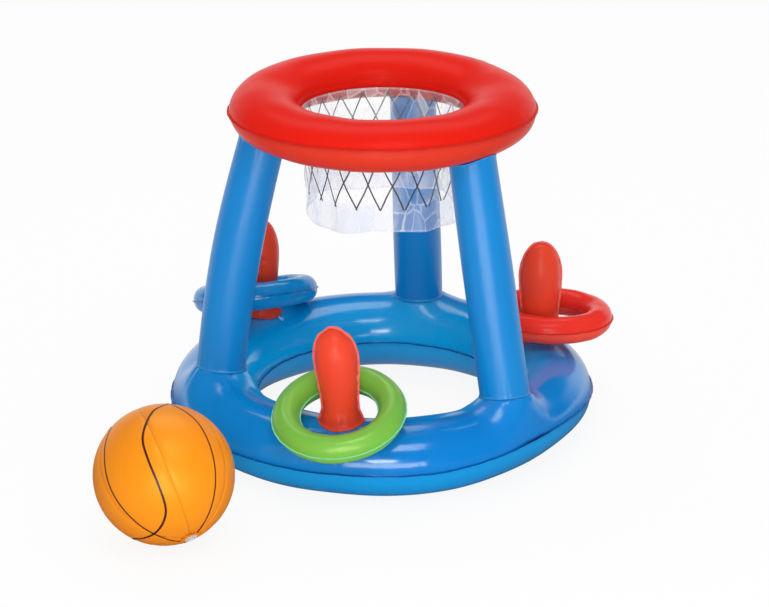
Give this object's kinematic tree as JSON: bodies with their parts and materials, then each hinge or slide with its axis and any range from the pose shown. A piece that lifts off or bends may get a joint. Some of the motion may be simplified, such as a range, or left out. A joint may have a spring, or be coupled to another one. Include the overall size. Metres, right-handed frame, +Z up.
{
  "type": "floating basketball hoop",
  "caption": "Inflatable floating pool hoop: wide base ring, leaning legs, hoop with clear net sleeve, pegs with tossed rings, soft ball and hinged valve plugs.",
  "frame": {"origin": "on the floor under the middle of the whole set's bounds, the ball that stands beside the base included", "axes": "+Z up through the hoop; +Y from the front peg towards the back leg, along the set's longest side; +X to the right of someone facing the front peg"},
  "size_m": [0.6276, 0.859, 0.5117],
  "materials": {
    "blue_vinyl": "glossy blue vinyl sheet",
    "red_vinyl": "glossy red vinyl sheet",
    "green_vinyl": "glossy green vinyl sheet",
    "clear_blue_vinyl": "see-through blue vinyl sheet",
    "orange_vinyl": "glossy orange vinyl sheet with printed seam lines",
    "clear_vinyl": "clear moulded vinyl",
    "clear_film": "clear vinyl film printed with a net"
  },
  "bodies": {
    "float": {"base_upper_sheet": "blue_vinyl", "base_lower_sheet": "blue_vinyl", "base_valve_seat": "clear_vinyl", "hoop_upper_sheet": "red_vinyl", "hoop_lower_sheet": "red_vinyl", "hoop_valve_seat": "clear_vinyl", "net_sleeve": "clear_film", "leg_right": "blue_vinyl", "leg_back": "blue_vinyl", "leg_left": "blue_vinyl", "peg_front_far_panel": "red_vinyl", "peg_front_near_panel": "red_vinyl", "peg_right_far_panel": "red_vinyl", "peg_right_near_panel": "red_vinyl", "peg_left_far_panel": "red_vinyl", "peg_left_near_panel": "red_vinyl"},
    "base_stopper": {"base_plug": "clear_vinyl"},
    "hoop_stopper": {"hoop_plug": "clear_vinyl"},
    "green_ring": {"green_ring_upper_sheet": "green_vinyl", "green_ring_lower_sheet": "green_vinyl", "green_ring_valve_seat": "clear_vinyl"},
    "green_stopper": {"green_ring_plug": "clear_vinyl"},
    "red_ring": {"red_ring_upper_sheet": "red_vinyl", "red_ring_lower_sheet": "red_vinyl", "red_ring_valve_seat": "clear_vinyl"},
    "red_stopper": {"red_ring_plug": "clear_vinyl"},
    "blue_ring": {"blue_ring_upper_sheet": "clear_blue_vinyl", "blue_ring_lower_sheet": "clear_blue_vinyl", "blue_ring_valve_seat": "clear_vinyl"},
    "blue_stopper": {"blue_ring_plug": "clear_vinyl"},
    "ball": {"ball_gore_1": "orange_vinyl", "ball_gore_2": "orange_vinyl", "ball_gore_3": "orange_vinyl", "ball_gore_4": "orange_vinyl", "ball_gore_5": "orange_vinyl", "ball_gore_6": "orange_vinyl", "ball_top_cap": "clear_vinyl", "ball_valve_cap": "clear_vinyl", "ball_valve_seat": "clear_vinyl"},
    "ball_stopper": {"ball_plug": "clear_vinyl"}
  },
  "joints": [
    {"name": "green_ring_lift", "type": "slide", "parent": "float", "child": "green_ring", "axis": [0, 0, 1], "range_m": [0, 0.175]},
    {"name": "red_ring_lift", "type": "slide", "parent": "float", "child": "red_ring", "axis": [0, 0, 1], "range_m": [0, 0.175]},
    {"name": "blue_ring_lift", "type": "slide", "parent": "float", "child": "blue_ring", "axis": [0, 0, 1], "range_m": [0, 0.175]},
    {"name": "ball_lift", "type": "slide", "parent": "float", "child": "ball", "axis": [0, 0, 1], "range_m": [0, 0.6]},
    {"name": "base_plug_hinge", "type": "hinge", "parent": "float", "child": "base_stopper", "pos_m": [-0.14838, 0.36867, 0.08533], "axis": [0.3447, -0.5736, 0.7431], "range_deg": [0, 140]},
    {"name": "hoop_plug_hinge", "type": "hinge", "parent": "float", "child": "hoop_stopper", "pos_m": [0.10481, 0.30873, 0.49882], "axis": [-0.3575, -0.6192, 0.6991], "range_deg": [0, 140]},
    {"name": "green_plug_hinge", "type": "hinge", "parent": "green_ring", "child": "green_stopper", "pos_m": [0.00962, -0.05829, 0.16517], "axis": [-0.0133, -0.9057, 0.4237], "range_deg": [0, 140]},
    {"name": "red_plug_hinge", "type": "hinge", "parent": "red_ring", "child": "red_stopper", "pos_m": [0.17245, 0.21115, 0.14937], "axis": [0.4124, 0.6404, 0.6479], "range_deg": [0, 140]},
    {"name": "blue_plug_hinge", "type": "hinge", "parent": "blue_ring", "child": "blue_stopper", "pos_m": [-0.30023, 0.29778, 0.11886], "axis": [0.467, -0.1649, 0.8688], "range_deg": [0, 140]},
    {"name": "ball_plug_hinge", "type": "hinge", "parent": "ball", "child": "ball_stopper", "pos_m": [-0.12198, -0.37781, 0.02049], "axis": [0.6574, 0.7536, 0], "range_deg": [0, 140]}
  ]
}
